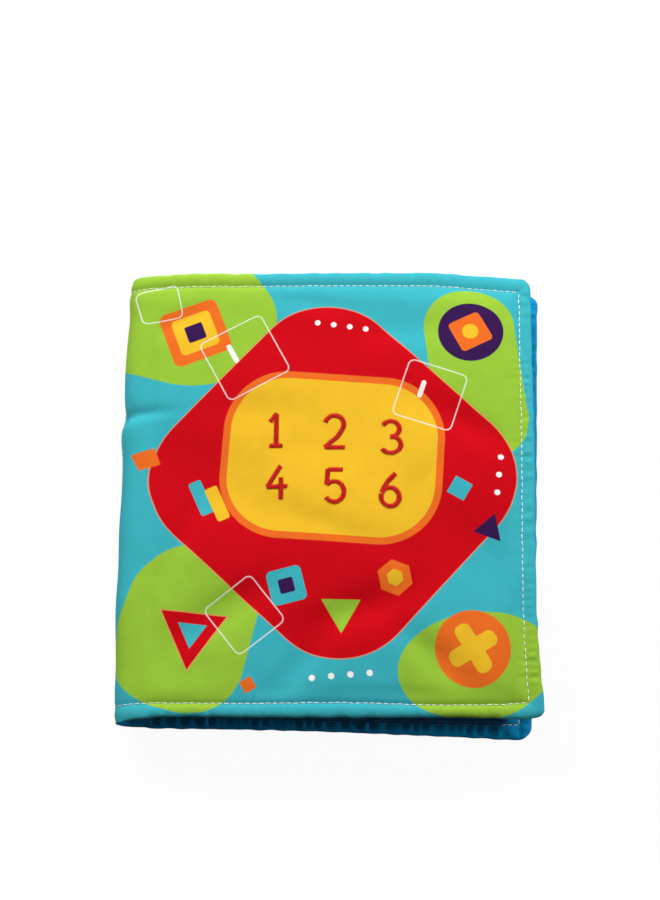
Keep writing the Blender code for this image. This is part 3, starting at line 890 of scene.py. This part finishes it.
def shapeDistance(tree, flat, item):
    # Distance outside the shape in millimetres, below zero inside it
    size = item["size"]
    if item["kind"] == "disc":
        unit = addNode(tree, "ShaderNodeVectorMath", {0: flat, 1: (1 / size[0], 1 / size[1], 0)},
                       operation="MULTIPLY").outputs[0]
        far = addNode(tree, "ShaderNodeVectorMath", {0: unit}, operation="LENGTH").outputs["Value"]
        return addNode(tree, "ShaderNodeMath", {0: far, 1: min(size), 2: -min(size)},
                       operation="MULTIPLY_ADD").outputs[0]
    if item["kind"] == "box":
        away = addNode(tree, "ShaderNodeVectorMath", {0: flat}, operation="ABSOLUTE").outputs[0]
        inner = (size[0] - item["corner"], size[1] - item["corner"], 0)
        away = addNode(tree, "ShaderNodeVectorMath", {0: away, 1: inner}, operation="SUBTRACT").outputs[0]
        away = addNode(tree, "ShaderNodeVectorMath", {0: away, 1: (0, 0, 0)}, operation="MAXIMUM").outputs[0]
        far = addNode(tree, "ShaderNodeVectorMath", {0: away}, operation="LENGTH").outputs["Value"]
        return addNode(tree, "ShaderNodeMath", {0: far, 1: item["corner"]}, operation="SUBTRACT").outputs[0]
    radius, sides = size
    far = None
    for k in range(sides):
        angle = math.tau * k / sides
        side = addNode(tree, "ShaderNodeVectorMath", {0: flat, 1: (math.cos(angle), math.sin(angle), 0)},
                       operation="DOT_PRODUCT").outputs["Value"]
        far = side if far is None else addNode(tree, "ShaderNodeMath", {0: far, 1: side},
                                               operation="MAXIMUM").outputs[0]
    return addNode(tree, "ShaderNodeMath", {0: far, 1: radius}, operation="SUBTRACT").outputs[0]


def printInk(shapes, ground):
    soft = 0.16  # millimetres over which one ink gives way to the next

    def paint(tree, uv):
        scaled = addNode(tree, "ShaderNodeVectorMath", {0: uv, "Scale": 1 / mm}, operation="SCALE").outputs[0]
        color = linearColor(inks[ground])
        for item in shapes:
            local = addNode(tree, "ShaderNodeMapping", {
                "Vector": scaled, "Location": (*item["at"], 0),
                "Rotation": (0, 0, math.radians(item["turn"]))}, vector_type="TEXTURE").outputs[0]
            flat = addNode(tree, "ShaderNodeVectorMath", {0: local, 1: (1, 1, 0)}, operation="MULTIPLY")
            far = shapeDistance(tree, flat.outputs[0], item)
            if item["line"]:
                far = addNode(tree, "ShaderNodeMath", {0: far}, operation="ABSOLUTE").outputs[0]
                far = addNode(tree, "ShaderNodeMath", {0: far, 1: item["line"] / 2},
                              operation="SUBTRACT").outputs[0]
            factor = addNode(tree, "ShaderNodeMapRange", {
                "Value": far, "From Min": -soft, "From Max": soft, "To Min": item["alpha"], "To Max": 0.0})
            mix = addNode(tree, "ShaderNodeMix", {
                0: factor.outputs[0], 6: color, 7: linearColor(inks[item["ink"]])}, data_type="RGBA")
            color = mix.outputs[2]
        return color
    return paint


coverCloth = clothMaterial("printed_cotton_cover", printInk(coverShapes, "teal"))
print("materials made")

# Each page has a field inside its stitches, a margin ink and one large plain shape. The inner leaves' navy
# margins are painted shade: a dark ink that stands in for the shade in the gap under the cover.
pages = {
    "back_cover": {1: ("blue", "blue", shape("disc", (104, 0), (52, 52), "yellow"), "red")},
    "leaf_4": {1: ("lime", "navy", shape("box", (100, 0), (48, 48), "purple", 0, 12), "yellow"),
               -1: ("yellow", "yellow", shape("gon", (100, 0), (30, 3), "teal", 90), "red")},
    "leaf_3": {1: ("yellow", "navy", shape("gon", (98, 0), (44, 6), "coral"), "white"),
               -1: ("coral", "navy", shape("box", (100, 0), (56, 34), "yellow", 0, 30), "purple")},
    "leaf_2": {1: ("teal", "navy", shape("gon", (104, 0), (46, 5), "yellow", 18), "red"),
               -1: ("lime", "navy", shape("disc", (100, 0), (58, 36), "orange"), "purple")},
    "leaf_1": {1: ("coral", "navy", shape("box", (100, 0), (44, 44), "teal", 45, 8), "yellow"),
               -1: ("purple", "purple", shape("disc", (100, 0), (46, 46), "orange"), "white")},
    "front_cover": {-1: ("yellow", "yellow", shape("box", (100, 0), (50, 50), "lime", 0, 14), "red")},
}
faceNames = {1: "upper", -1: "lower"}


def pageCloth(leaf, side):
    ink, margin, motif, accent = pages[leaf][side]
    inside = [shape("box", (91, 0), (93.5, 103), ink)] if margin != ink else []
    centre = motif["at"]
    inside += [motif, shape("disc", centre, (20, 20), accent), shape("disc", centre, (13, 13), ink)]
    inside += [shape("box", (centre[0] + dx, dy), (9, 9), accent, 20, 3, line=1.0)
               for dx in (-66, 66) for dy in (-76, 76)]
    return clothMaterial("printed_cotton_" + leaf + "_" + faceNames[side], printInk(inside, margin))


for index, leaf in enumerate(leafNames):
    isCover, runs, threads = index in (0, top), [], []
    for side in pages[leaf]:
        face = leaf + "_" + faceNames[side]
        half = buildHalf(leaf + "_lining" if isCover else face + "_page", index, side)
        half.data.materials.append(pageCloth(leaf, side))
        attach(half, leaf)
        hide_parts(face + "_fabric", *([leaf + "_wadding"] if not isCover and side > 0 else []))
        runs += leafRuns(lambda u, v: padSurface(index, side, u, v), index, runningStitch)
        threads.append(leaf + ("_needle_thread" if side > 0 else "_bobbin_thread"))
    name = leaf + ("_lining_stitches" if isCover else "_stitches")
    thread = threadPiece(name, runs, runningStitch, whiteThread, index + 1)
    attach(thread, leaf)
    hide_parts(*threads)
    print("leaf made:", leaf)

cover = buildCover()
cover.data.materials.append(coverCloth)
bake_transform(cover)
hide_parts("front_cover_upper_fabric", "back_cover_lower_fabric",
            "front_cover_wadding", "back_cover_wadding", "inner_sheet_fold")

# Plain numbers in satin stitch on the yellow field: strokes as arcs and lines in a unit height
embroidery = {"height": 16.5 * mm, "lift": 0.06 * mm, "step": 0.5 * mm,
              "places": ((74, 28), (103, 27), (131, 24), (75, 1), (103, -1), (130, -3))}


def arc(x, y, radiusX, radiusY, start, end, steps=14):
    angles = np.radians(np.linspace(start, end, steps))
    return [(x + radiusX * math.cos(a), y + radiusY * math.sin(a)) for a in angles]


numbers = (
    [[(-0.16, 0.26), (0.02, 0.5)], [(0.02, 0.5), (0.02, -0.5)], [(-0.17, -0.5), (0.2, -0.5)]],
    [arc(0, 0.22, 0.28, 0.28, 165, -28) + [(0.1, -0.16), (-0.14, -0.36), (-0.28, -0.5)],
     [(-0.28, -0.5), (0.3, -0.5)]],
    [arc(-0.02, 0.25, 0.26, 0.25, 150, -90), arc(-0.02, -0.24, 0.3, 0.26, 90, -148)],
    [[(0.1, 0.5), (-0.28, -0.12)], [(-0.28, -0.12), (0.3, -0.12)], [(0.12, 0.14), (0.12, -0.5)]],
    [[(0.24, 0.5), (-0.19, 0.5)], [(-0.19, 0.5), (-0.22, 0.04)], arc(0, -0.18, 0.29, 0.32, 136, -146)],
    [[(0.17, 0.5), (-0.06, 0.26), (-0.2, 0.02)] + arc(0.01, -0.21, 0.27, 0.29, 158, -196, 24)],
)


def evenRun(points, step):
    points = np.array(points, float)
    lengths = np.concatenate([[0], np.cumsum(np.hypot(*np.diff(points, axis=0).T))])
    places = np.linspace(0, lengths[-1], max(2, round(lengths[-1] / step) + 1))
    return np.interp(places, lengths, points[:, 0]), np.interp(places, lengths, points[:, 1])


satinRuns = []
for (s, level), strokes in zip(embroidery["places"], numbers):
    for stroke in strokes:
        x, y = evenRun(np.array(stroke) * embroidery["height"], embroidery["step"])
        x, y = x + s * mm, y + level * mm
        satinRuns.append(stitchRun(coverSurface, x, y, satinStitch, embroidery["lift"]))
redThread = threadMaterial("rayon_embroidery_thread_red", "crimson")
satin = threadPiece("embroidered_numbers", satinRuns, satinStitch, redThread, 21)
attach(satin, "front_cover")
print("embroidery made")

# The cover's own rows: along both ends, down both fore edges and along the seam
fore, end, gap = stitchFrame(top, runningStitch)
along, across = np.arange(gap - fore, fore - gap, mm), np.arange(gap - end, end - gap, mm)
seamEnd = 4 * mm
seamLine = np.arange(seamEnd - pile["coverHeight"] / 2, pile["coverHeight"] / 2 - seamEnd, mm)
lines = ((along, -end), (along, end), (-fore, across), (fore, across), (0.0, seamLine))
runs = [stitchRun(coverSurface, u, v, runningStitch) for u, v in lines]
coverThread = threadPiece("outer_cover_stitches", runs, runningStitch, whiteThread, 11)
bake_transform(coverThread)
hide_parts("front_cover_needle_thread", "back_cover_bobbin_thread", "spine_seam_thread")
print("cover made")

# Camera at the photograph's angle: tilted from straight down towards the lower edge
view = {"aim": (-2.51 * mm, 28.66 * mm, 0.0), "tilt": 18.309, "distance": 0.9, "roll": 0.1575,
        "lens": 72.3, "sensor": 36}
tilt, roll = math.radians(view["tilt"]), math.radians(view["roll"])
ahead = Vector((0.0, math.sin(tilt), -math.cos(tilt)))
level, rise = Vector((1.0, 0.0, 0.0)), Vector((0.0, math.cos(tilt), math.sin(tilt)))
right = level * math.cos(roll) + rise * math.sin(roll)
upward = rise * math.cos(roll) - level * math.sin(roll)
camera = placed("camera", bpy.data.cameras.new("camera"))
camera.data.lens = view["lens"]
camera.data.sensor_width = view["sensor"]
turn = Matrix((right, upward, -ahead)).transposed()
camera.matrix_world = Matrix.Translation(Vector(view["aim"]) - ahead * view["distance"]) @ turn.to_4x4()
bpy.context.scene.camera = camera

# Pale floor, white to the camera but dark to what it lights, so the sides stay in shade
stage = {"floorSize": 8.0, "floorLevel": -0.2 * mm, "floorHex": "#FAFAFA", "bounceHex": "#262626",
         "glow": 0.95, "whiteFrom": 0.18, "whiteTo": 0.45, "room": 0.07}
bpy.ops.mesh.primitive_plane_add(size=stage["floorSize"], location=(0, 0, stage["floorLevel"]))
floor = bpy.context.object
floor.name = "floor"
paper = bpy.data.materials.new("matt_paper_floor")
paper.use_nodes = True
tree = paper.node_tree
tree.nodes.clear()
rays = addNode(tree, "ShaderNodeLightPath")
seen = addNode(tree, "ShaderNodeBsdfDiffuse", {"Color": linearColor(stage["floorHex"])})
glow = addNode(tree, "ShaderNodeEmission", {"Color": (1, 1, 1, 1), "Strength": 1.0})
place = addNode(tree, "ShaderNodeTexCoord").outputs["Object"]
away = addNode(tree, "ShaderNodeVectorMath", {0: place}, operation="LENGTH").outputs["Value"]
whiter = addNode(tree, "ShaderNodeMapRange", {
    "Value": away, "From Min": stage["whiteFrom"], "From Max": stage["whiteTo"],
    "To Min": stage["glow"], "To Max": 1.0}).outputs[0]
bright = addNode(tree, "ShaderNodeMixShader", {0: whiter, 1: seen.outputs[0], 2: glow.outputs[0]})
bounce = addNode(tree, "ShaderNodeBsdfDiffuse", {"Color": linearColor(stage["bounceHex"])})
direct = rays.outputs["Is Camera Ray"]
for label in ("Is Glossy Ray", "Is Transmission Ray"):
    direct = addNode(tree, "ShaderNodeMath", {0: direct, 1: rays.outputs[label]},
                     operation="MAXIMUM").outputs[0]
surface = addNode(tree, "ShaderNodeMixShader", {0: direct, 1: bounce.outputs[0], 2: bright.outputs[0]})
addNode(tree, "ShaderNodeOutputMaterial", {"Surface": surface.outputs[0]})
floor.data.materials.append(paper)

world = bpy.data.worlds.new("soft_room")
world.use_nodes = True
bpy.context.scene.world = world
tree = world.node_tree
tree.nodes.clear()
rays = addNode(tree, "ShaderNodeLightPath")
room = addNode(tree, "ShaderNodeBackground", {"Color": (1, 1, 1, 1), "Strength": stage["room"]})
white = addNode(tree, "ShaderNodeBackground", {"Color": (1, 1, 1, 1), "Strength": 1.0})
mixed = addNode(tree, "ShaderNodeMixShader", {
    0: rays.outputs["Is Camera Ray"], 1: room.outputs[0], 2: white.outputs[0]})
addNode(tree, "ShaderNodeOutputWorld", {"Surface": mixed.outputs[0]})

lamps = {  # place, size in metres, power in watts
    "softbox_left": ((-1.10, 1.45, 0.98), 0.65, 39.5),
    "softbox_right": ((0.74, 1.10, 0.72), 0.5, 15.5),
    "softbox_above": ((0.15, 0.35, 1.6), 0.8, 5.2),
    "softbox_low": ((0.62, -0.20, 0.10), 0.10, 0.9),
}
for name, (place, size, power) in lamps.items():
    lamp = bpy.data.lights.new(name, "AREA")
    lamp.shape, lamp.size, lamp.energy = "DISK", size, power
    holder = placed(name, lamp)
    holder.location = place
    holder.rotation_euler = (-Vector(place)).to_track_quat("-Z", "Y").to_euler()

bpy.context.scene.view_settings.view_transform = "Standard"
print("stage, light and camera set")
